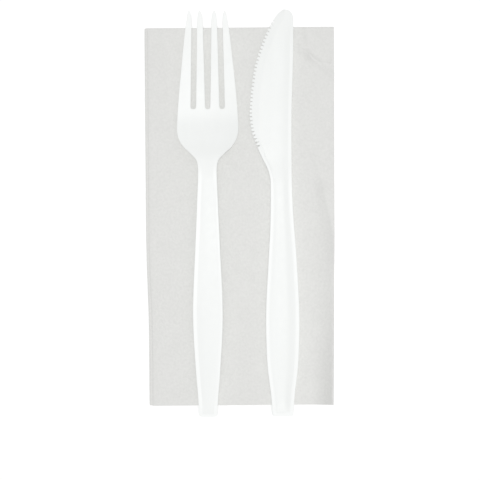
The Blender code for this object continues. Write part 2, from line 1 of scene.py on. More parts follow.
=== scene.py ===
# %% [markdown]
# A place setting of three pieces: a moulded plastic fork and knife, lying on a
# paper napkin that is folded in half three times.
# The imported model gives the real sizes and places. This lesson makes the finer
# surfaces that go on those places: the folded tissue with its layers and creases,
# the fork and the knife as smooth mouldings, and the knife's serrated edge.

# %% Load the fixed frame
import math
from functools import partial

import bmesh
import bpy
import numpy as np
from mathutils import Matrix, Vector
from mathutils.bvhtree import BVHTree


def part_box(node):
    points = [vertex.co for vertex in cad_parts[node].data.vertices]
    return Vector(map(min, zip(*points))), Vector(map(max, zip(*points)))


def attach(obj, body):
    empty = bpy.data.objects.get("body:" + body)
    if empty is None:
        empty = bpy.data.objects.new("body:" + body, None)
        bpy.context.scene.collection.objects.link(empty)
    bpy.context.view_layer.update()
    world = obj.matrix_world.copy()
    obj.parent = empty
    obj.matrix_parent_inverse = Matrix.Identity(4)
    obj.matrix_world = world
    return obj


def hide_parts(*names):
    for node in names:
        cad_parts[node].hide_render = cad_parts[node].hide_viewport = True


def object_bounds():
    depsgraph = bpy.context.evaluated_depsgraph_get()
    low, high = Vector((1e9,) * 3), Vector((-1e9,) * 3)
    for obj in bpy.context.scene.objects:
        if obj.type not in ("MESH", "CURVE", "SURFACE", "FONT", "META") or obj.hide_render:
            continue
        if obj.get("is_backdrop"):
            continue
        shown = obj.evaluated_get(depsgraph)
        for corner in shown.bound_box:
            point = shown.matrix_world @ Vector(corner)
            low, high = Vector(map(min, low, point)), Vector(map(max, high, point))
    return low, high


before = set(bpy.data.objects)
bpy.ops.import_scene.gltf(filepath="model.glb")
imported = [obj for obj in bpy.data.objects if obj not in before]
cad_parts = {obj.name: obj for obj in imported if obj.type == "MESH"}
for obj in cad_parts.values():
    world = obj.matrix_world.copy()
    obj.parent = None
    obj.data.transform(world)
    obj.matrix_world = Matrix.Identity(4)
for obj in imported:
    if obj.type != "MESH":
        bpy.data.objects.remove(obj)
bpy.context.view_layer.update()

MM = 0.001
scene = bpy.context.scene


def in_mm(lengths):
    return [round(float(length) / MM, 2) for length in lengths]


for node in sorted(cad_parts):
    low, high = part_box(node)
    print(node, "from", in_mm(low), "to", in_mm(high), "mm")

# %% [markdown]
# ## Small helpers
# Every piece here is built from a few measured sizes and smooth steps between
# them. `blend` mixes two sizes. `ease` goes from 0 to 1 without a corner, which
# keeps highlights unbroken, and `rise` does so round one place, such as a neck.
# `curve_through` draws a smooth line through a few sizes without overshooting, the
# way a draughtsman's spline does.

# %% Numbers that change smoothly


def blend(low, high, share):
    return low + (high - low) * share


def ease(place, start, end):
    share = np.clip((place - start) / (end - start), 0.0, 1.0)
    share = share**3 * (10 - 15 * share + 6 * share**2)
    return share if share.ndim else float(share)


def rise(place, middle, before, after):
    return ease(place, middle + before, middle + after)


def curve_through(points):
    places, sizes = zip(*points)
    slopes = [(b[1] - a[1]) / (b[0] - a[0]) for a, b in zip(points, points[1:])]
    turns = [slopes[0]]
    for before, after in zip(slopes, slopes[1:]):
        turns.append(2 * before * after / (before + after) if before * after > 0 else 0.0)
    turns.append(slopes[-1])

    def size_at(place):
        place = min(max(place, places[0]), places[-1])
        i = max(k for k in range(len(slopes)) if places[k] <= place)
        run = places[i + 1] - places[i]
        t = (place - places[i]) / run
        return (
            (2 * t**3 - 3 * t**2 + 1) * sizes[i]
            + (t**3 - 2 * t**2 + t) * run * turns[i]
            + (3 * t**2 - 2 * t**3) * sizes[i + 1]
            + (t**3 - t**2) * run * turns[i + 1]
        )

    return size_at


def between(start, end, step):
    """Places from start up to, but not at, end, about a step apart."""
    count = max(1, round((end - start) / step))
    return [blend(start, end, k / count) for k in range(count)]


print("ease halfway:", ease(0.5, 0.0, 1.0))

# %% [markdown]
# A node tree is easier to read as a formula than as a web of wires. `node_in`
# makes a node in a tree, with its inputs named by label or number. `add_node` does
# that in the tree of whatever feeds the node. `calc` adds one Math node and hands
# back its output, so that calls nest like arithmetic. `new_tree` starts a geometry
# tree and names its inputs, and `end_tree` says what comes out of it.

# %% Node trees written as formulas


def is_output(value):
    return isinstance(value, bpy.types.NodeSocket)


def feed(socket, value):
    """Link an output to a socket, or write a plain value on it."""
    if is_output(value):
        socket.id_data.links.new(value, socket)
    else:
        socket.default_value = value


def node_in(tree, kind, inputs=(), **settings):
    node = tree.nodes.new(kind)
    for name, value in settings.items():
        setattr(node, name, value)
    for name, value in dict(inputs).items():
        feed(node.inputs[name], value)
    return node


def add_node(kind, inputs, **settings):
    tree = next(value.id_data for value in inputs.values() if is_output(value))
    return node_in(tree, kind, inputs, **settings)


def calc(operation, *values):
    return add_node("ShaderNodeMath", dict(enumerate(values)), operation=operation).outputs[0]


times, minus = partial(calc, "MULTIPLY"), partial(calc, "SUBTRACT")


def vector_calc(operation, first, second):
    inputs = {0: first, "Scale" if operation == "SCALE" else 1: second}
    node = add_node("ShaderNodeVectorMath", inputs, operation=operation)
    return node.outputs["Value" if operation == "DOT_PRODUCT" else "Vector"]


def remap(value, *numbers, **settings):
    """Stretch a value from one range, low and high, to another."""
    names = ("From Min", "From Max", "To Min", "To Max")
    inputs = {"Value": value, **dict(zip(names, numbers))}
    return add_node("ShaderNodeMapRange", inputs, **settings).outputs["Result"]


def choose(test, when_false, when_true):
    inputs = {"Switch": test, "False": when_false, "True": when_true}
    return add_node("GeometryNodeSwitch", inputs, input_type="FLOAT").outputs[0]


def above(value, limit):
    settings = {"data_type": "FLOAT", "operation": "GREATER_THAN"}
    return add_node("FunctionNodeCompare", {"A": value, "B": limit}, **settings).outputs[0]


def moved(geometry, offset):
    inputs = {"Geometry": geometry, "Offset": offset}
    return add_node("GeometryNodeSetPosition", inputs).outputs[0]


def finished(geometry, material):
    inputs = {"Geometry": geometry, "Material": material}
    return add_node("GeometryNodeSetMaterial", inputs).outputs[0]


def new_tree(name, *inputs):
    tree = bpy.data.node_groups.new(name, "GeometryNodeTree")
    for way in ("INPUT", "OUTPUT"):
        tree.interface.new_socket("Geometry", in_out=way, socket_type="NodeSocketGeometry")
    for label, kind, value in inputs:
        socket = tree.interface.new_socket(label, in_out="INPUT", socket_type="NodeSocket" + kind)
        if value is not None:
            socket.default_value = value
    return tree, node_in(tree, "NodeGroupInput").outputs


def end_tree(geometry):
    add_node("NodeGroupOutput", {"Geometry": geometry})


def use_tree(piece, tree, **values):
    """Put a tree on a piece, with its inputs set by each socket's identifier."""
    modifier = piece.modifiers.new(tree.name, "NODES")
    modifier.node_group = tree
    for item in tree.interface.items_tree:
        if item.in_out == "INPUT" and item.name.lower() in values:
            modifier[item.identifier] = values[item.name.lower()]


def plain_mesh(piece):
    """Replace a piece's modifiers by the mesh that they make."""
    bpy.context.view_layer.update()
    graph = bpy.context.evaluated_depsgraph_get()
    made = bpy.data.meshes.new_from_object(
        piece.evaluated_get(graph), preserve_all_data_layers=True, depsgraph=graph
    )
    made.name = piece.name
    piece.modifiers.clear()
    piece.data = made


def new_object(name, data):
    thing = bpy.data.objects.new(name, data)
    scene.collection.objects.link(thing)
    return thing


def from_points(name, points, edges, faces):
    mesh = bpy.data.meshes.new(name)
    mesh.from_pydata(points, edges, faces)
    return new_object(name, mesh)


def points_of(piece):
    points = np.empty(len(piece.data.vertices) * 3)
    piece.data.vertices.foreach_get("co", points)
    return points.reshape(-1, 3)


def set_points(piece, points):
    piece.data.vertices.foreach_set("co", points.ravel())
    piece.data.update()


print("node helpers ready")

# %% [markdown]
# ## The napkin
# The real one is a 33 cm square of two-ply tissue. It was folded in half
# sideways, then from the top down, then sideways again, which gives eight layers
# of about 165 by 82 mm. It could be a thin box, but then its edges would show no
# layers. So the flat square is folded here as it is in the hand: one small rule
# that lays everything past a crease back over the rest, used three times.

# %% The napkin's sizes
SHEET_SIDE = 330 * MM
PAPER = 0.11 * MM  # two plies, pressed together
LAYER_GAP = 0.07 * MM  # air between two folded layers
LAST_FOLD_SPRING = 2.5 * MM  # how much wider the last fold is at the lower end
SPRING_REACH = 9.5 * MM  # from the last fold to where its layers lie flat again
OUT_OF_SQUARE = 0.65 * MM  # how much narrower the lower end is
EDGE_TIGHTNESS = 0.2  # how far the last fold bulges, as a share of a half circle
SETTLING = 0.6  # less lets the layers come down sooner behind the last fold
NAPKIN_TURN = math.radians(0.46)
HALF_SHEET = SHEET_SIDE / 2
QUARTER_SHEET = SHEET_SIDE / 4


def stack_depth(layers):
    return layers * PAPER + (layers - 1) * LAYER_GAP


NAPKIN_TOP = stack_depth(8)
print("eight layers lie", round(NAPKIN_TOP / MM, 2), "mm deep")

# %% [markdown]
# The sheet is a flat grid first. A fold of a fraction of a millimetre needs many
# lines across it, while the layers that stay flat need few. So the grid's lines
# crowd together where the three creases will come, and where the top layer later
# gets its wrinkles.

# %% Cut the flat sheet
FOLD_ZONE = (79.3 * MM, 85.6 * MM)  # where the last fold's layers turn
SPRUNG_FROM = QUARTER_SHEET - SPRING_REACH - 2 * MM
tight_turn = math.pi * (PAPER + LAYER_GAP) / 2
wide_turn = math.pi * (stack_depth(2) + LAYER_GAP / 2)
first_half = [
    *between(0.0, SPRUNG_FROM, 4 * MM),
    *between(SPRUNG_FROM, FOLD_ZONE[0], 1.6 * MM),
    *between(*FOLD_ZONE, 0.16 * MM),
]
top_layer = [
    *between(FOLD_ZONE[1], 101 * MM, 0.42 * MM),
    *between(101 * MM, HALF_SHEET, 1.7 * MM),
]
# The other half of the sheet gets the same lines, so that they lie on these when
# it is folded over. Its last line is the sheet's own edge.
second_half = [SHEET_SIDE + tight_turn - x for x in reversed(first_half[1:])]
columns = [
    *first_half,
    *top_layer,
    *between(HALF_SHEET, HALF_SHEET + tight_turn, tight_turn / 6),
    *between(HALF_SHEET + tight_turn, second_half[0], 3.2 * MM),
    *second_half,
    SHEET_SIDE,
]
rows = [
    *between(0.0, 14 * MM, 1.4 * MM),
    *between(14 * MM, 128 * MM, 1.7 * MM),
    *between(128 * MM, 141 * MM, 1.3 * MM),
    *between(141 * MM, HALF_SHEET, 0.45 * MM),
    *between(HALF_SHEET, HALF_SHEET + wide_turn, wide_turn / 10),
    *between(HALF_SHEET + wide_turn, SHEET_SIDE, 3.6 * MM),
    SHEET_SIDE,
]

points = [(x, y, PAPER / 2) for y in rows for x in columns]
wide = len(columns)
faces = []
for j in range(len(rows) - 1):
    for i in range(wide - 1):
        k = j * wide + i
        faces.append((k, k + 1, k + wide + 1, k + wide))
napkin = from_points("folded_napkin", points, [], faces)
print("flat sheet of", len(columns), "by", len(rows), "lines")

# %% [markdown]
# The fold rule, as a node group. A point that lies `past` the crease goes round a
# half circle first and then back over the rest. The circle is smaller for a layer
# that lies higher, because it is nearer the inside of the fold. Everything is a
# field, so the crease's place and the circle's size may differ from point to
# point, and one group serves all three folds.

# %% One fold, as a node group
fold_over, given = new_tree(
    "fold_over",
    ("Direction", "Vector", (1.0, 0.0, 0.0)),
    ("Crease", "Float", HALF_SHEET),
    ("Reach", "Float", stack_depth(1) + LAYER_GAP / 2),
)
direction = given["Direction"]
position = node_in(fold_over, "GeometryNodeInputPosition").outputs[0]
height = add_node("ShaderNodeSeparateXYZ", {0: position}).outputs["Z"]
radius = minus(given["Reach"], height)
along = vector_calc("DOT_PRODUCT", position, direction)
past = minus(along, given["Crease"])
half_turn = times(radius, math.pi)
angle = calc("DIVIDE", past, radius)

sine, cosine = calc("SINE", angle), calc("COSINE", angle)
round_along = minus(times(radius, sine), past)
round_up = times(radius, minus(1.0, cosine))
back_along = minus(half_turn, times(past, 2.0))
back_up = times(radius, 2.0)

turned_over = above(past, half_turn)
along = choose(turned_over, round_along, back_along)
up = choose(turned_over, round_up, back_up)
reached = above(past, 0.0)
along = choose(reached, 0.0, along)
up = choose(reached, 0.0, up)

lift = add_node("ShaderNodeCombineXYZ", {"Z": up}).outputs[0]
offset = vector_calc("ADD", vector_calc("SCALE", direction, along), lift)
end_tree(moved(given["Geometry"], offset))
print("fold group has", len(fold_over.nodes), "nodes")

# %% [markdown]
# Now the whole napkin. The last fold isn't pressed flat: towards its lower end it
# springs open, and the upper four layers come down again over the next
# centimetre. The spring grows with the square of the distance, as a folded edge
# that was creased from the top down does. The lower end is also a little
# narrower, because a hand-folded sheet is never quite square.

# %% Fold it three times
fold_napkin, given = new_tree(
    "fold_napkin",
    ("Spring", "Float", LAST_FOLD_SPRING),
    ("Settling Reach", "Float", SPRING_REACH),
    ("Out Of Square", "Float", OUT_OF_SQUARE),
    ("Edge Tightness", "Float", EDGE_TIGHTNESS),
    ("Paper", "Material", None),
)
position = node_in(fold_napkin, "GeometryNodeInputPosition").outputs[0]
place = add_node("ShaderNodeSeparateXYZ", {0: position}).outputs
lower = remap(place["Y"], 0.0, HALF_SHEET, 1.0, 0.0)
spring = times(given["Spring"], calc("POWER", lower, 2.0))
middle = calc("ADD", spring, (stack_depth(4) + LAYER_GAP) / 2)
last_crease = calc("MULTIPLY_ADD", middle, -math.pi / 2, QUARTER_SHEET)
last_reach = calc("ADD", spring, stack_depth(4) + LAYER_GAP / 2)

geometry = given["Geometry"]
folds = [
    ((1.0, 0.0, 0.0), HALF_SHEET, stack_depth(1) + LAYER_GAP / 2),
    ((0.0, 1.0, 0.0), HALF_SHEET, stack_depth(2) + LAYER_GAP / 2),
    ((1.0, 0.0, 0.0), last_crease, last_reach),
]
for direction, crease, reach in folds:
    inputs = {"Geometry": geometry, "Direction": direction, "Crease": crease, "Reach": reach}
    geometry = add_node("GeometryNodeGroup", inputs, node_tree=fold_over).outputs[0]

# Behind the last crease the upper layers come down to the lower ones again.
inside = calc("DIVIDE", minus(last_crease, place["X"]), given["Settling Reach"])
inside = calc("POWER", calc("MAXIMUM", inside, 0.0), SETTLING)
settled = remap(inside, interpolation_type="SMOOTHSTEP")
drop = times(times(spring, -2.0), settled)
down = choose(above(place["Z"], last_reach), 0.0, drop)
# Past it they bulge less than a half circle, and the lower end is narrower.
bulge = calc("MAXIMUM", minus(place["X"], last_crease), 0.0)
tighter = times(bulge, minus(given["Edge Tightness"], 1.0))
narrowing = calc("DIVIDE", times(given["Out Of Square"], lower), -QUARTER_SHEET)
sideways = calc("MULTIPLY_ADD", narrowing, place["X"], tighter)
shift = add_node("ShaderNodeCombineXYZ", {"X": sideways, "Z": down}).outputs[0]
real = add_node("GeometryNodeRealizeInstances", {0: moved(geometry, shift)})
end_tree(finished(real.outputs[0], given["Paper"]))
print("napkin tree has", len(fold_napkin.nodes), "nodes")

# %% [markdown]
# ## Wrinkles
# Pressed tissue keeps a few soft marks. The photo shows a forked diagonal wrinkle
# near the upper right corner, a long crease that runs down from beside the knife
# to the right edge, and the upper layers standing back a little at the lower left.
# Cloth simulation would put marks where it likes, so each one is placed here as a
# ridge between two points. A ridge lifts the top layer most and the bottom layer
# not at all, so the layers never pass through each other.
# Where the last fold springs open, the paper also gives: it moves to the right,
# and what stands up leans back.

# %% Ridges pressed into the stack
RIDGES = [
    # from and to, in mm from the lower left corner; height; widths on its right and left
    ((65.5, 157.4), (71.0, 153.0), 0.70, 0.9, 1.2),
    ((71.5, 152.2), (83.0, 142.8), 0.95, 1.2, 1.8),
    ((70.0, 162.5), (71.6, 154.0), 0.50, 0.9, 1.1),
    ((74.5, 150.4), (80.5, 148.8), 0.42, 0.7, 1.1),
    ((80.5, 148.6), (81.8, 152.0), 0.26, 0.7, 1.0),
    ((74.5, 162.0), (82.5, 159.5), 0.22, 2.4, 2.0),
    ((76.5, 126.0), (83.0, 117.0), 0.12, 2.0, 2.6),
    ((73.0, 108.0), (76.6, 94.0), 0.75, 2.6, 3.0),
    ((76.6, 94.0), (82.4, 64.0), 1.5, 2.8, 4.4),
    ((2.0, 128.0), (9.0, 121.0), 0.07, 1.5, 2.2),
    ((3.0, 62.0), (12.0, 74.0), 0.08, 2.0, 2.4),
    ((69.0, 34.0), (76.0, 22.0), 0.12, 1.6, 2.4),
    ((38.0, 148.0), (41.5, 120.0), 0.06, 1.6, 2.2),
    ((38.5, 70.0), (42.5, 40.0), 0.07, 1.8, 2.4),
]
CREST = 1.25  # 2 is a round ridge, less is a sharper one
RUN_OUT = 3.0 * MM  # how softly a ridge ends
LAYER_SHARE = 1.5  # more leaves the lower layers flatter under a ridge
LOWER_END = (20 * MM, 82 * MM)  # where the loose lower end begins to fade, and is gone
STEP_BACK = 1.2 * MM  # how far the upper layers stand back at the lower left
STEP_REACH = 34 * MM  # how far across the napkin that is seen
FOLD_GIVE = 2.3 * MM  # how far the sprung fold moves out at the lower end
GIVE_ZONE = (46 * MM, 76 * MM)  # from where on, across the napkin, and where in full
LEAN_BACK = 0.13  # how far raised paper leans back, as a share of how high it stands


def ridge_lift(x, y):
    lift = np.zeros_like(x)
    for start, end, height, right, left in RIDGES:
        start, end = np.array(start) * MM, np.array(end) * MM
        run = end - start
        length = np.hypot(*run)
        along = ((x - start[0]) * run[0] + (y - start[1]) * run[1]) / length
        across = ((x - start[0]) * run[1] - (y - start[1]) * run[0]) / length
        outside = np.maximum(np.maximum(-along, along - length), 0.0)
        wide = np.where(across * run[1] < 0, left, right) * MM
        away = np.sqrt((across / wide) ** 2 + (outside / RUN_OUT) ** 2)
        lift += height * MM * np.exp(-(away**CREST))
    return lift


def press_wrinkles(piece):
    points = points_of(piece)
    x, y, z = points.T
    share = np.clip(z / NAPKIN_TOP, 0.0, 1.0) ** LAYER_SHARE
    lower = 1 - ease(y, *LOWER_END)
    upper_layers = ease(z, stack_depth(4), stack_depth(5))
    give = FOLD_GIVE * (1 - y / HALF_SHEET) ** 2 * ease(x, *GIVE_ZONE)
    points[:, 2] += ridge_lift(x, y) * share
    points[:, 0] += STEP_BACK * lower * upper_layers * (1 - ease(x, 0.0, STEP_REACH)) + give
    points[:, 1] += LEAN_BACK * lower * np.maximum(z - NAPKIN_TOP, 0.0)
    set_points(piece, points)
    return points[:, 2].max()


print("wrinkles:", len(RIDGES))

# %% [markdown]
# Tissue is matt and cool grey in soft light. Close up it shows three scales at
# once: loose fibres, the fine dimples that press its plies together, and a slow
# clouding where the pulp is thicker. All three are noise on Object coordinates,
# so they stay put on the piece. The fibres make bump, and the clouding is the
# tissue's own tone. The dimples make bump and colour together, so their sunken
# parts are painted darker: a painted shade.

# %% The tissue's finish


def node_of(tree, kind):
    return next(n for n in tree.nodes if n.type == kind)


def new_material(name, colour, values):
    material = bpy.data.materials.new(name)
    material.use_nodes = True
    surface = node_of(material.node_tree, "BSDF_PRINCIPLED").inputs
    for label, value in {"Base Color": (*colour, 1.0), **values}.items():
        feed(surface[label], value)
    return material, material.node_tree, surface


def noise(tree, scale, detail, stretch=None):
    """A noise on Object coordinates, with about this many cells per metre."""
    where = node_in(tree, "ShaderNodeTexCoord").outputs["Object"]
    if stretch:
        inputs = {"Vector": where, "Scale": stretch}
        where = add_node("ShaderNodeMapping", inputs).outputs["Vector"]
    inputs = {"Vector": where, "Scale": scale, "Detail": detail}
    return add_node("ShaderNodeTexNoise", inputs).outputs[0]


def two_colours(factor, dark, light):
    inputs = {"Factor": factor, "A": (*dark, 1.0), "B": (*light, 1.0)}
    return add_node("ShaderNodeMix", inputs, data_type="RGBA").outputs["Result"]


def bump(height, distance, normal=None):
    inputs = {"Height": height, "Distance": distance}
    if normal:
        inputs["Normal"] = normal
    return add_node("ShaderNodeBump", inputs).outputs["Normal"]


PAPER_DARK = (0.734, 0.735, 0.719)
PAPER_LIGHT = (0.772, 0.772, 0.756)
look = {
    "Roughness": 0.95,
    "Specular IOR Level": 0.15,
    "Sheen Weight": 0.08,
    "Sheen Roughness": 0.6,
}
paper_finish, tree, surface = new_material("tissue_paper", PAPER_LIGHT, look)
fibres = noise(tree, 2600, 3.0, (1.0, 0.6, 1.0))
dimples = noise(tree, 900, 1.0)
clouds = noise(tree, 110, 2.0)
# The clouds are the tissue's own tone; the dimples are painted darker where they sink, a painted
# shade.
tone_and_dimple_shade = calc("ADD", times(clouds, 0.25), times(dimples, 0.75))
factor = remap(tone_and_dimple_shade, 0.32, 0.68, 0.0, 1.0)
feed(surface["Base Color"], two_colours(factor, PAPER_DARK, PAPER_LIGHT))
soft = bump(dimples, 0.10 * MM)
feed(surface["Normal"], bump(fibres, 0.03 * MM, soft))
print("tissue nodes:", len(tree.nodes))

# %% [markdown]
# The folding tree runs once and its result becomes a plain mesh. Then the
# wrinkles are pressed in, and Solidify gives the sheet its 0.11 mm, half on
# either side, so every layer has two faces and a cut edge.
# `put_in_place` turns a finished mesh and moves it until the middle of its box is
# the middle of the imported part's box. The place ends up in the mesh itself.

# %% Fold, wrinkle and place the napkin


def put_in_place(piece, node, turn):
    low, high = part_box(node)
    points = points_of(piece)
    x, y = points[:, 0].copy(), points[:, 1].copy()
    points[:, 0] = x * math.cos(turn) - y * math.sin(turn)
    points[:, 1] = x * math.sin(turn) + y * math.cos(turn)
    for k in (0, 1):
        points[:, k] += (low[k] + high[k] - points[:, k].min() - points[:, k].max()) / 2
    points[:, 2] += low[2] - points[:, 2].min()
    set_points(piece, points)
    packed = in_mm(b - a for a, b in zip(low, high))
    print(piece.name, in_mm(points.max(axis=0) - points.min(axis=0)), "mm, packed", packed)


use_tree(napkin, fold_napkin, paper=paper_finish)
plain_mesh(napkin)
highest = press_wrinkles(napkin)
wall = napkin.modifiers.new("paper", "SOLIDIFY")
wall.thickness = PAPER
wall.offset = 0.0
plain_mesh(napkin)
napkin.data.shade_smooth()
napkin.data.set_sharp_from_angle(angle=math.radians(50))
put_in_place(napkin, "napkin", NAPKIN_TURN)
print("napkin:", len(napkin.data.polygons), "faces, highest point", round(highest / MM, 2), "mm")
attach(napkin, "root")
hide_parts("napkin")

# %% [markdown]
# ## The mouldings
# The fork and the knife are thin shells from a two-part mould: every edge is
# rounded, and every wall leans a little. A subdivision surface suits this. Its
# cage is a grid of points for the top, a matching grid for the underside, and a
# wall round the rim of both. Extra lines close beside an edge keep its round
# small. A slot is a gap between two columns of the grid, and the smoothing makes
# its end round. The mouldings' sizes are written in mm from here on, and become
# metres when the cage's points are made.

# %% A cage from two grids
EDGE_ROUND = 0.15
MOST_OF_A_WALL = 0.3  # an edge's round takes at most this share of the wall's height


def moulding(name, tops, floors, is_gap):
    body = bmesh.new()
    roof, floor = (
        [[body.verts.new([c * MM for c in point]) for point in row] for row in grid]
        for grid in (tops, floors)
    )
    cells = []
    for row in range(len(tops) - 1):
        for column in range(len(tops[0]) - 1):
            if not is_gap(row, column):
                after = (row + 1, column + 1)
                cells.append(((row, column), (row, column + 1), after, (row + 1, column)))
    sides = set()
    for cell in cells:
        body.faces.new([roof[row][column] for row, column in cell])
        body.faces.new([floor[row][column] for row, column in reversed(cell)])
        sides.update(zip(cell, cell[1:] + cell[:1]))
    rims = {}

    def rim(place):
        if place not in rims:
            up, down = roof[place[0]][place[1]], floor[place[0]][place[1]]
            share = min(MOST_OF_A_WALL, EDGE_ROUND * MM / (up.co - down.co).length)
            between_them = [body.verts.new(up.co.lerp(down.co, k)) for k in (share, 1 - share)]
            rims[place] = [up, *between_them, down]
        return rims[place]

    for a, b in sides:
        if (b, a) not in sides:
            near, far = rim(a), rim(b)
            for k in range(3):
                body.faces.new((far[k], near[k], near[k + 1], far[k + 1]))
    loose = [v for v in body.verts if not v.link_faces]
    bmesh.ops.delete(body, geom=loose, context="VERTS")
    mesh = bpy.data.meshes.new(name)
    body.to_mesh(mesh)
    body.free()
    piece = new_object(name, mesh)
    smooth = piece.modifiers.new("smooth", "SUBSURF")
    smooth.levels = smooth.render_levels = 2
    return piece


def round_corner(distance, radius):
    left = max(radius - distance, 0.0)
    return radius - math.sqrt(radius**2 - left**2)


print("edges are rounded to about", EDGE_ROUND, "mm")

# %% [markdown]
# The fork's outline is measured: half widths from its axis, at distances from the
# butt of the handle. A narrow butt, a swell, a slim neck, quick shoulders, and
# then a head that narrows slowly to the tips of the outer tines.

# %% The fork's outline and arch
FORK_LENGTH = 175.3
FORK_NECK = 107.2
HEAD_WIDEST = 124.7
FORK_ROOT = 134.0
FORK_POINTS = 171.9
FORK_TURN = math.radians(0.14)
FORK_OUTLINE = [
    (0.0, 4.1), (4.9, 4.15), (19.6, 5.23), (44.5, 6.45), (75.85, 5.22), (94.65, 4.42),
    (107.2, 4.0), (111.05, 4.51), (114.55, 7.63), (118.05, 11.07), (121.55, 12.74),
    (124.7, 13.3), (135.83, 12.77), (153.04, 11.11), (171.9, 8.75), (175.3, 7.95),
]
FORK_ARCH = [
    (0.0, 3.7), (30.0, 4.81), (60.0, 6.03), (102.2, 7.4), (111.3, 6.44), (120.8, 3.56),
    (131.7, 1.4), (138.5, 1.8), (152.15, 3.84), (175.3, 8.0),
]
CHANNEL_DEPTH = 3.7
FLANGE_WALL = 1.1  # a channel's side
END_WALL = 1.2  # a channel's end, at the butt
WEB = 1.3  # a channel's top
fork_outline = curve_through(FORK_OUTLINE)
fork_arch = curve_through(FORK_ARCH)
print("fork is", round(2 * fork_outline(HEAD_WIDEST), 1), "mm wide where the shoulders end")

# %% [markdown]
# Each row of the cage is one section. In the handle its ten columns on each side
# make the side, the rim, the step down to the sunken panel, and the panel. In
# the head the same ten become the sides and middles of two tines. Between neck
# and tines each column slides from one duty to the other.

# %% One section of the fork
FORK_RIM, FORK_STEP = 0.8, 0.8  # the rim, and the slope from it to the panel
FORK_RECESS = 0.15
FORK_CROWN = 0.15  # how far the panel's middle swells again
BOWL_DISH = 1.1
BOWL_WALL, ROOT_WALL, TIP_WALL = 1.4, 2.0, 0.8  # along the head
HANDLE_DRAFT, HEAD_DRAFT = 0.3, 0.15  # how far a wall leans in at its foot
TINE_EDGE = 0.32
SLOT_END = 1.1  # how long a slot's round end is
# A slot's side, as its distance from the axis where the slot begins, where the
# tines' points begin, and at their tips.
OUTER_SLOT = ((7.45, 6.6, 7.45), (5.1, 4.26, 3.35))
CENTRE_SLOT = (1.1, 1.86, 2.85)
PANEL_SHARES = (0.76, 0.52, 0.29, 0.08)  # where lines run along the panel
END_LEAN, LEAN_REACH = 0.4, 3  # how far the end wall leans in, and over what


def slot_side(place, root_side, mouth_side, tip_side):
    run = float(np.clip((place - FORK_ROOT) / (FORK_POINTS - FORK_ROOT), 0, 1))
    straight = blend(root_side, mouth_side, run)
    past = max(0.0, (place - FORK_POINTS) / (FORK_LENGTH - FORK_POINTS))
    # A tine's point is blunt: more than half of it is in the last third.
    pointed = 0.66 * past if past < 2 / 3 else 0.44 + 1.68 * (past - 2 / 3)
    return blend(straight, tip_side, pointed)


def slot_end(place, near, far):
    """Draws a slot's two sides together towards its middle where its round end begins."""
    past = (place - FORK_ROOT) / SLOT_END
    if 0 <= past < 1:
        pinch = 0.5 * (1 - math.sqrt(1 - (1 - past) ** 2))
        return blend(near, far, pinch / 2), blend(far, near, pinch / 2)
    return near, far


def tine(outer, inner):
    edge = min(TINE_EDGE, 0.24 * (outer - inner))
    return [outer, outer - edge, (outer + inner) / 2, inner + edge, inner]


def fork_row(place):
    channel = 1 - rise(place, FORK_NECK, -5, 10)
    hollow = channel * rise(place, END_WALL, 0, 0.5)
    panel_end = 1 - rise(place, FORK_NECK, -10, 0)
    panel = panel_end * ease(place, 3, 9)
    recess, swell = FORK_RECESS * panel, FORK_CROWN * panel
    flattening = 1 - 0.85 * rise(place, FORK_ROOT, -4, 22)
    dish = BOWL_DISH * rise(place, FORK_NECK, 0, 16) * flattening
    wall = blend(BOWL_WALL, ROOT_WALL, rise(place, FORK_ROOT, -8, 0))
    wall = blend(wall, TIP_WALL, ease(place, FORK_ROOT, FORK_LENGTH))
    depth = blend(wall, CHANNEL_DEPTH, channel)
    half = fork_outline(place)
    if place < FORK_NECK:
        half -= round_corner(place, 1.4)
    crown = fork_arch(place)
    side, foot = half, half - blend(HEAD_DRAFT, HANDLE_DRAFT, channel)

    outer_slot = slot_end(place, *(slot_side(place, *sides) for sides in OUTER_SLOT))
    centre = slot_side(place, *CENTRE_SLOT)
    centre_slot = slot_end(place, centre, -centre)
    tines = [*tine(side, outer_slot[0]), *tine(outer_slot[1], centre_slot[0])]
    rim = side - min(FORK_RIM, 0.3 * side)
    step = rim - FORK_STEP
    grip = [side, side - 0.15, rim + 0.2, rim, step, step - 0.4]
    grip += [(step - 0.4) * share for share in PANEL_SHARES]
    parting = ease(place, FORK_NECK - 2, FORK_ROOT - 5)
    xs = [blend(a, b, parting) for a, b in zip(grip, tines)]

    def top(x):
        return crown + dish * (x / side) ** 2

    tops = [(x, top(x)) for x in xs[:4]]
    tops += [(x, top(x) - recess + swell * (1 - (x / xs[4]) ** 2)) for x in xs[4:]]
    inner = foot - FLANGE_WALL
    under = [foot, foot - 0.3, inner + 0.25, inner, inner - 0.3, inner - 0.6]
    under += [(inner - 0.6) * share for share in PANEL_SHARES]
    floor = crown - depth
    narrower = {0: foot - side, 4: 0.12, 5: -0.12, 9: 0.12}
    floors = []
    for k, x in enumerate(under):
        x = blend(x, tines[k] + narrower.get(k, 0.0), parting)
        web = top(x) - recess - blend(wall, WEB, channel)
        solid = blend(top(x) - wall, floor, channel)
        floors.append((x, blend(solid, web, hollow) if k > 3 else solid))
    lean = max(0.0, 1 - place / LEAN_REACH) * END_LEAN / CHANNEL_DEPTH
    rows = []
    for line in (tops, floors):
        full = [(-x, z) for x, z in line] + [(x, z) for x, z in reversed(line)]
        rows.append([(x, place + lean * (z - floor), z) for x, z in full])
    return rows


print("sections have", len(fork_row(50.0)[0]), "points above and below")

# %% [markdown]
# Rows stand close where the shape changes fast: at the butt, round the neck and
# shoulders, and where the slots begin. A row just before the slots keeps their
# ends crisp.

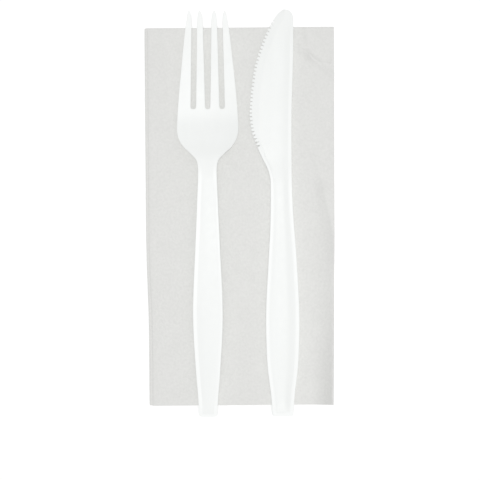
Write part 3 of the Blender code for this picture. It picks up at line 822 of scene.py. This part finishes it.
# %% Build the fork
fork_places = [
    *(0.0, 0.25, 0.7, 1.15, 1.45, 1.75, 2.3, 3.2, 5.0, 7.0, 9.0),
    *between(12, 97, 5.0),
    *between(97, FORK_NECK, 2.0),
    *between(FORK_NECK, HEAD_WIDEST, 1.3),
    *between(HEAD_WIDEST, FORK_ROOT - 0.6, 2.0),
    FORK_ROOT - 0.35,
    *[FORK_ROOT + past for past in (0.0, 0.4, 1.1, 2.0, 3.4, 6.0)],
    *between(FORK_ROOT + 10, FORK_POINTS, 4.5),
    *[FORK_LENGTH - left for left in (3.4, 2.3, 1.15, 0.45, 0.0)],
]
first_gap = fork_places.index(FORK_ROOT)
fork = moulding(
    "fork_moulding",
    *zip(*map(fork_row, fork_places)),
    lambda row, column: row >= first_gap and column in (4, 9, 14),
)
plain_mesh(fork)
fork.data.shade_smooth()
put_in_place(fork, "fork", FORK_TURN)
print("fork:", len(fork.data.polygons), "faces")

# %% [markdown]
# White polystyrene isn't quite opaque. Over the walls of a handle, where it is
# deep, it looks whiter than in a thin panel, which loses some of the light. That
# light is painted into the colour here: each point stores how much plastic lies
# below it, found by looking down through the finished mesh, and deep places are
# painted whiter, thin ones greyer. Points on a rounded edge count as deep, so the
# rounded edges get a painted highlight.

# %% How much plastic lies below each point, for painted light and shade
MOST_PLASTIC = 4 * MM
FACES_UP = (0.2, 0.85)  # between these a point lies on a rounded edge
JUST_INSIDE = 0.1 * MM


def store_painted_light_depth(piece):
    mesh = piece.data
    faces = [face.vertices for face in mesh.polygons]
    body = BVHTree.FromPolygons([v.co for v in mesh.vertices], faces)
    depths = []
    for vertex in mesh.vertices:
        up = vertex.normal.z
        inwards = Vector((0.0, 0.0, -1.0)) if up > FACES_UP[0] else -vertex.normal
        start = vertex.co - vertex.normal * JUST_INSIDE
        found = body.ray_cast(start, inwards, MOST_PLASTIC)[3] or MOST_PLASTIC
        # A point on a rounded edge is given the most plastic, which paints a highlight on that
        # edge.
        round_edge_painted_highlight = FACES_UP[0] < up < FACES_UP[1]
        depths.append((MOST_PLASTIC if round_edge_painted_highlight else found) / MM)
    mesh.attributes.new("plastic_below", "FLOAT", "POINT").data.foreach_set("value", depths)
    usual = [round(float(depth), 1) for depth in np.percentile(depths, (5, 50, 95))]
    print(piece.name, "plastic below a point:", *usual, "mm")


store_painted_light_depth(fork)

# %% [markdown]
# The finish is satin. It isn't perfectly even: the mould leaves a faint
# cloudiness in the gloss and a very fine orange-peel texture, and the melt leaves
# soft streaks along the length.

# %% The plastic's finish
PLASTIC_THIN_SHADE_AND_STREAK = (0.887, 0.902, 0.892)
PLASTIC_DEEP_LIGHT_AND_STREAK = (0.940, 0.954, 0.945)
look = {"Roughness": 0.5, "IOR": 1.5, "Specular IOR Level": 0.4}
plastic_finish, tree, surface = new_material("moulded_white_plastic", PLASTIC_DEEP_LIGHT_AND_STREAK, look)
streaks = noise(tree, 220, 2.0, (1.0, 0.12, 1.0))
clouds = noise(tree, 420, 3.0)
peel = noise(tree, 3200, 1.0)
below = node_in(tree, "ShaderNodeAttribute", attribute_name="plastic_below").outputs["Fac"]
# Deep plastic is painted whiter and thin plastic greyer: painted light and shade. The streaks are
# the plastic's own tone.
deep = remap(below, 1.4, 3.2, 0.0, 0.8)
factor = calc("ADD", deep, remap(streaks, 0.35, 0.65, 0.0, 0.2))
feed(surface["Base Color"], two_colours(factor, PLASTIC_THIN_SHADE_AND_STREAK, PLASTIC_DEEP_LIGHT_AND_STREAK))
feed(surface["Roughness"], remap(clouds, 0.3, 0.7, 0.46, 0.56))
feed(surface["Normal"], bump(peel, 0.004 * MM))
print("plastic nodes:", len(tree.nodes))
fork.data.materials.append(plastic_finish)
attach(fork, "root")
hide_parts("fork")

# %% [markdown]
# ## The knife
# Its cutting side is measured like the fork's outline, but the two sides differ:
# the left one runs out along the choil into the curve of the blade, the right one
# is the blade's thick back, which ends in a round tip.

# %% The knife's two sides
KNIFE_LENGTH = 177.2
KNIFE_NECK = 101.8
TEETH_START = 116.7
TIP_RADIUS = 3.7
KNIFE_TURN = math.radians(0.15)
CUTTING_SIDE = [
    (0.0, -4.65), (7.14, -4.915), (24.36, -6.876), (42.0, -7.3), (68.91, -6.024),
    (86.85, -5.166), (101.8, -5.1), (107.83, -6.32), (111.38, -8.11), (118.77, -11.35),
    (125.32, -13.50), (132.34, -14.05), (149.68, -12.31), (159.41, -9.67),
    (170.11, -5.2), (173.9, -2.75), (175.6, -1.45), (176.5, -0.25), (177.2, 0.7),
]
BACK_SIDE = [
    (0.0, 4.65), (7.14, 4.968), (24.36, 6.85), (42.0, 7.3), (67.71, 6.198),
    (94.03, 4.402), (106.78, 4.15), (128.94, 4.18), (156.62, 4.91), (173.5, 5.1),
]
DEEPEST_TEETH = 132
cutting_side = curve_through(CUTTING_SIDE)
back_side = curve_through(BACK_SIDE)
blade_width = back_side(DEEPEST_TEETH) - cutting_side(DEEPEST_TEETH)
print("blade is", round(blade_width, 1), "mm wide at its deepest teeth")

# %% [markdown]
# The handle is the fork's handle turned plain: a rim all round a sunken panel,
# and a channel below. In the blade the rim on the left thins to a ground edge,
# and the rim on the right stays as a thick back along the thin plate.

# %% One section of the knife
KNIFE_DEPTH = 4.0
KNIFE_RIM = 1.15
KNIFE_RECESS = 0.3
SAG = 0.8  # how far the handle's panel is dished
BACK_RIB, BEVEL = 1.3, 4.2  # how wide the back's top and the ground edge are
BEAD = 0.36  # a low rib beside the edge, from the neck to the heel
BLADE_MIDDLE = 1.3  # its height above the feet of the handle
PLATE_HALF, SPINE_HALF = 0.6, 1.1  # half the thickness of the plate and the back
EDGE_DROP = 0.45  # what the grinding takes off either face
CHAMFER, BESIDE = 0.15, 0.22  # a bevelled edge, and a line close beside an edge
LEAD = 0.35  # how far a channel's inner wall leans
FULL_WIDTH = 8.4  # where the knife is narrower, the rims shrink with it
ACROSS = (0.1, 0.3, 0.5, 0.68, 0.85)  # where lines run along the panel
UNDER = (0.27, 0.5, 0.73)  # and below it


def knife_row(place):
    handle = 1 - ease(place, KNIFE_NECK - 4, TEETH_START - 1)
    rimmed = 1 - rise(place, TEETH_START, -5, 6)
    sharp = ease(place, KNIFE_NECK + 4, TEETH_START + 20)
    hollow = handle * rise(place, END_WALL, 0, 0.5)
    recess = KNIFE_RECESS * rise(place, END_WALL, 0, 0.9)
    rib = 1 - rise(place, KNIFE_LENGTH, -14, -3)
    thinning = 1 - 0.3 * rise(place, KNIFE_LENGTH, -25, 0)
    plate_half = PLATE_HALF * thinning
    spine_half = blend(plate_half, SPINE_HALF * thinning, rib)
    edge_drop = EDGE_DROP * thinning * sharp
    left = cutting_side(place) + round_corner(place, 1.3)
    round_tip = round_corner(KNIFE_LENGTH - place, TIP_RADIUS)
    right = back_side(place) - round_tip - round_corner(place, 0.8)
    wide = right - left
    fit = min(1.0, wide / FULL_WIDTH)
    rim_left = blend(KNIFE_RIM, BEVEL, sharp) * fit
    rim_right = blend(BACK_RIB, KNIFE_RIM, handle) * fit
    at_neck = rise(place, KNIFE_NECK, -6, 2)
    slope_left = blend(1.4, 0.35, at_neck) * fit
    slope_right = blend(1.8, 1.4, handle) * fit
    sag = handle * min(SAG, 0.055 * wide) * ease(place, END_WALL, 6 * END_WALL)
    chamfer, beside, lead = CHAMFER * fit, BESIDE * fit, LEAD * fit

    panel = blend(BLADE_MIDDLE + plate_half, KNIFE_DEPTH - recess, handle)
    bead = BEAD * rise(place, KNIFE_NECK, -4, 4) * rimmed
    rim_top = panel + recess * rimmed + bead
    edge_top = rim_top - edge_drop
    back_top = BLADE_MIDDLE + blend(spine_half, KNIFE_DEPTH - BLADE_MIDDLE, handle)
    panel_left, panel_right = left + rim_left + slope_left, right - rim_right - slope_right
    climb_run = blend(4.2, min(7.0, 0.48 * wide), handle) * fit
    climb_start = right - rim_right - climb_run
    fall_run = blend(slope_left, climb_start - left - rim_left, handle)
    deepest = panel - sag

    def top(x):
        """The panel falls from the rim on the left and climbs to the back."""
        still_to_fall = max(0.0, 1 - (x - left - rim_left) / fall_run) ** 3
        climbed = max(0.0, (x - climb_start) / (right - rim_right - climb_start)) ** 1.8
        climbed = climbed**2 * (3 - 2 * climbed)
        return deepest + (rim_top - deepest) * still_to_fall + (back_top - deepest) * climbed

    ground = (rim_left - beside - chamfer) / (rim_left - chamfer)
    panel_xs = [panel_left, *[blend(panel_left, panel_right, t) for t in ACROSS], panel_right]
    tops = [
        (left, edge_top - chamfer * handle),
        (left + chamfer, edge_top),
        (left + rim_left - beside, blend(edge_top, rim_top, ground)),
        (left + rim_left, rim_top),
        *[(x, top(x)) for x in panel_xs],
        (right - rim_right, back_top),
        (right - rim_right + beside, back_top),
        (right - chamfer, back_top),
        (right, back_top - chamfer),
    ]
    draft = HANDLE_DRAFT * handle
    left, right = left + draft, right - draft
    web = blend(BLADE_MIDDLE - plate_half, panel - sag - WEB, hollow)
    back_floor = blend(BLADE_MIDDLE - spine_half, 0.0, handle)
    rim_floor = blend(BLADE_MIDDLE - plate_half, 0.0, handle)
    edge_floor = rim_floor + edge_drop
    wall_left = blend(rim_left, FLANGE_WALL, handle)
    wall_right = blend(rim_right, FLANGE_WALL, handle)
    inner_left, inner_right = left + wall_left + lead, right - wall_right - lead
    ground = (wall_left - beside - chamfer) / max(wall_left - chamfer, 0.1)
    floors = [
        (left, edge_floor),
        (left + chamfer, edge_floor),
        (left + wall_left - beside, blend(edge_floor, rim_floor, ground)),
        (left + wall_left, rim_floor),
        (inner_left, web),
        (inner_left + beside, web),
        *[(blend(inner_left, inner_right, t), web) for t in UNDER],
        (inner_right - beside, web),
        (inner_right, web),
        (right - wall_right, back_floor),
        (right - wall_right + beside, back_floor),
        (right - chamfer, back_floor),
        (right, back_floor),
    ]
    lean = max(0.0, 1 - place / LEAN_REACH) * 0.1
    return [[(x, place + lean * z, z) for x, z in line] for line in (tops, floors)]


knife_places = [
    *(0.0, 0.25, 0.65, 1.05, 1.4, 1.75, 2.1, 2.5, 3.2, 5.0, 7.0),
    *between(10, KNIFE_NECK - 6, 5.0),
    *between(KNIFE_NECK - 6, KNIFE_NECK + 20, 1.6),
    *between(KNIFE_NECK + 20, KNIFE_LENGTH - 8, 2.6),
    *[KNIFE_LENGTH - left for left in (8.0, 6.2, 4.8, 3.7, 2.7, 1.8, 1.05, 0.5, 0.2, 0.0)],
]
knife_grids = zip(*map(knife_row, knife_places))
knife = moulding("knife_moulding", *knife_grids, lambda row, column: False)
plain_mesh(knife)
print("knife:", len(knife.data.polygons), "faces before its teeth are cut")

# %% [markdown]
# ## The serration
# The 35 teeth could each be modelled, but they all follow one rule: a wedge is
# taken out of the edge, square to it, every 1.65 mm. The wedge leans at its inner
# end, as it must to leave the mould, so each notch runs out as a short groove on
# both faces of the blade.

# %% The wedge that cuts one notch
TOOTH_PITCH = 1.65
TEETH_END = KNIFE_LENGTH - 5
# Height from the blade's middle, how far in the notch goes there, half its mouth.
NOTCH_LEVELS = [(-2.0, 2.4, 0.62), (0.0, 1.0, 0.5), (2.0, 2.4, 0.62)]
NOTCH_BOTTOM = 0.14
OUTSIDE, FLARE = -0.8, 1.35  # the wedge starts outside the edge, this much wider
EDGE_STEPS = 300

points = []
for height, inner, mouth in NOTCH_LEVELS:
    z = BLADE_MIDDLE + height
    points += [(OUTSIDE, -mouth * FLARE, z), (inner, -NOTCH_BOTTOM, z)]
    points += [(inner, NOTCH_BOTTOM, z), (OUTSIDE, mouth * FLARE, z)]
faces = [(3, 2, 1, 0), (8, 9, 10, 11)]
for low in (0, 4):
    for k, after in ((0, 1), (1, 2), (2, 3), (3, 0)):
        faces.append((low + k, low + after, low + 4 + after, low + 4 + k))
wedge = from_points("notch_wedge", [[c * MM for c in point] for point in points], [], faces)

places = [blend(TEETH_START, TEETH_END, k / EDGE_STEPS) for k in range(EDGE_STEPS + 1)]
points = [(cutting_side(place) * MM, place * MM, 0.0) for place in places]
path = from_points("edge_path", points, [(k, k + 1) for k in range(EDGE_STEPS)], [])
print("path of", len(points), "points along the edge")

# %% [markdown]
# Repeating the wedge is work for Geometry Nodes. A curve runs along the cutting
# side, the wedge is copied onto it at every step and turned with it, and one
# Boolean takes them all away.

# %% Copy the wedge along the edge and cut
cut_serration, given = new_tree(
    "cut_serration",
    ("Edge", "Object", None),
    ("Notch", "Object", None),
    ("Pitch", "Float", TOOTH_PITCH * MM),
    ("Plastic", "Material", None),
)
pitch = given["Pitch"]
edge = add_node("GeometryNodeObjectInfo", {"Object": given["Edge"]})
notch = add_node("GeometryNodeObjectInfo", {"Object": given["Notch"]})
curve = add_node("GeometryNodeMeshToCurve", {"Mesh": edge.outputs["Geometry"]})
# 4 and 5 say where the curve is trimmed, as lengths. 1.0 is far past its end.
inputs = {"Curve": curve.outputs[0], 4: times(pitch, 0.5), 5: 1.0}
trim = add_node("GeometryNodeTrimCurve", inputs, mode="LENGTH")
inputs = {"Curve": trim.outputs[0], "Length": pitch}
even = add_node("GeometryNodeResampleCurve", inputs, mode="LENGTH")
inputs = {"Vector": node_in(cut_serration, "GeometryNodeInputTangent").outputs[0]}
turned = add_node("FunctionNodeAlignRotationToVector", inputs, axis="Y", pivot_axis="Z")
inputs = {
    "Points": even.outputs[0],
    "Instance": notch.outputs["Geometry"],
    "Rotation": turned.outputs[0],
}
copies = add_node("GeometryNodeInstanceOnPoints", inputs)
wedges = add_node("GeometryNodeRealizeInstances", {0: copies.outputs[0]})
inputs = {"Mesh 1": given["Geometry"], "Mesh 2": wedges.outputs[0]}
cut = add_node("GeometryNodeMeshBoolean", inputs, operation="DIFFERENCE", solver="EXACT")
end_tree(finished(cut.outputs["Mesh"], given["Plastic"]))

use_tree(knife, cut_serration, edge=path, notch=wedge, plastic=plastic_finish)
plain_mesh(knife)
for helper in (wedge, path):
    bpy.data.objects.remove(helper, do_unlink=True)
print("after the cut:", len(knife.data.vertices), "points")

# %% [markdown]
# A Boolean leaves slivers where a cut runs almost along a face, and with them tiny
# holes. So points closer together than the eye can see are joined. The wall itself
# is all that can be reached from one of its points, and whatever else is left is a
# stray sliver.

# %% Clean the cut
JOIN_WITHIN = 0.012 * MM
SLIVER = 0.008 * MM

body = bmesh.new()
body.from_mesh(knife.data)
bmesh.ops.remove_doubles(body, verts=body.verts, dist=JOIN_WITHIN)
bmesh.ops.dissolve_degenerate(body, edges=body.edges, dist=SLIVER)
first = body.verts[:][0]
to_follow, reached = [first], {first}
while to_follow:
    for edge in to_follow.pop().link_edges:
        for point in edge.verts:
            if point not in reached:
                reached.add(point)
                to_follow.append(point)
stray = [v for v in body.verts if v not in reached]
bmesh.ops.delete(body, geom=stray, context="VERTS")
bmesh.ops.triangulate(body, faces=[f for f in body.faces if len(f.verts) > 4])
body.to_mesh(knife.data)
open_edges = sum(not edge.is_manifold for edge in body.edges)
print("points:", len(body.verts), "stray:", len(stray), "open edges:", open_edges)
body.free()
knife.data.shade_smooth()
knife.data.set_sharp_from_angle(angle=math.radians(35))
put_in_place(knife, "knife", KNIFE_TURN)
store_painted_light_depth(knife)
print("knife:", len(knife.data.polygons), "faces with its teeth")
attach(knife, "root")
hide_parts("knife")

# %% [markdown]
# ## The table, the light and the camera
# The setting was photographed from straight above on a white surface. The floor
# is white to the camera and a pale grey to every other ray, so it doesn't throw
# extra light up at the pieces, and it still takes their shadow.

# %% The floor
FLOOR_REACH = 3.0
FLOOR_DROP = 0.5 * MM  # below the napkin, so that the two never touch
FLOOR_GREY = (0.8, 0.8, 0.8)
FLOOR_GLOW = 0.09  # keeps the seen floor white where the pieces shade it a little


def table_top():
    far, low = FLOOR_REACH, -FLOOR_DROP
    corners = [(-far, -far, low), (far, -far, low), (far, far, low), (-far, far, low)]
    table = from_points("table_top", corners, [], [(0, 1, 2, 3)])
    material = bpy.data.materials.new("white_table")
    material.use_nodes = True
    tree = material.node_tree
    tree.nodes.remove(node_of(tree, "BSDF_PRINCIPLED"))
    ray = node_in(tree, "ShaderNodeLightPath").outputs
    seen = calc("MAXIMUM", ray["Is Camera Ray"], ray["Is Glossy Ray"])
    seen = calc("MAXIMUM", seen, ray["Is Transmission Ray"])
    grey = node_in(tree, "ShaderNodeBsdfDiffuse", {"Color": (*FLOOR_GREY, 1.0)})
    white = node_in(tree, "ShaderNodeBsdfDiffuse", {"Color": (1.0, 1.0, 1.0, 1.0)})
    glow = node_in(tree, "ShaderNodeEmission", {"Strength": FLOOR_GLOW})
    bright = add_node("ShaderNodeAddShader", {0: white.outputs[0], 1: glow.outputs[0]})
    mix = add_node("ShaderNodeMixShader", {0: seen, 1: grey.outputs[0], 2: bright.outputs[0]})
    feed(node_of(tree, "OUTPUT_MATERIAL").inputs["Surface"], mix.outputs[0])
    table.data.materials.append(material)
    return table


table_top()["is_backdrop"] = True
print("floor is in place")

# %% [markdown]
# The light is very soft. An even sky lights everything from all round. A small
# lamp straight above throws shadows that hide below the pieces. A broad lamp at
# the right gives the shapes their modelling: it shades the bowl of the fork, the
# dished handle of the knife and the sprung corner of the napkin. It is a fill
# light, so it casts no shadow of its own.

# %% The light
SKY = 0.48  # the sky's share of full light
VIEW_MIDDLE = Vector((0.3 * MM, -11.75 * MM, 0.0))


def soft_lamp(name, towards, away, side, share):
    """A square lamp that gives a level surface this share of full light."""
    towards = Vector(towards).normalized()
    data = bpy.data.lights.new(name, "AREA")
    data.shape = "SQUARE"
    data.size = side
    data.energy = share * math.pi**2 * away**2 / towards.z
    lamp = new_object(name, data)
    lamp.location = VIEW_MIDDLE + towards * away
    lamp.rotation_euler = towards.to_track_quat("Z", "Y").to_euler()
    return data


world = scene.world or bpy.data.worlds.new("studio")
scene.world = world
world.use_nodes = True
sky_tree = world.node_tree
backdrop = node_of(sky_tree, "BACKGROUND").inputs
backdrop["Color"].default_value = (1.0, 1.0, 1.0, 1.0)
ray = node_in(sky_tree, "ShaderNodeLightPath").outputs
shown = calc("MAXIMUM", ray["Is Camera Ray"], ray["Is Transmission Ray"])
feed(backdrop["Strength"], calc("MULTIPLY_ADD", shown, 1.0 - SKY, SKY))

lamp_above = soft_lamp("lamp_above", (0.0, 0.0, 1.0), away=0.55, side=0.05, share=0.38)
lamp_right = soft_lamp("lamp_right", (0.60, 0.06, 1.0), away=5.0, side=3.0, share=0.17)
lamp_right.use_shadow = False
scene.view_settings.view_transform = "Standard"
print("lamps of", round(lamp_above.energy, 2), "and", round(lamp_right.energy, 2), "W")

# %% [markdown]
# The camera looks straight down from 40 cm above the paper. From the known size
# of the napkin, one pixel is 0.4377 mm on its top layer, which gives the lens.

# %% The camera
CAMERA_HEIGHT = 400 * MM
PIXEL = 0.4377 * MM
PIXELS_ACROSS = 480
SENSOR = 36.0  # in mm, as the lens is
camera_data = bpy.data.cameras.new("view")
camera_data.sensor_width = SENSOR
camera_data.lens = SENSOR * CAMERA_HEIGHT / (PIXELS_ACROSS * PIXEL)
camera_data.clip_start = 0.01
camera_data.clip_end = 20.0
camera = new_object("view", camera_data)
camera.location = VIEW_MIDDLE + Vector((0.0, 0.0, NAPKIN_TOP + CAMERA_HEIGHT))
scene.camera = camera
print("lens", round(camera_data.lens, 1), "mm")

# %% [markdown]
# Last, the size of the visual model is printed, so that it can be compared with
# the imported one's.

# %% Sizes, and the end
bpy.context.view_layer.update()
low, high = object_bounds()
print("visual size", in_mm(b - a for a, b in zip(low, high)), "mm")
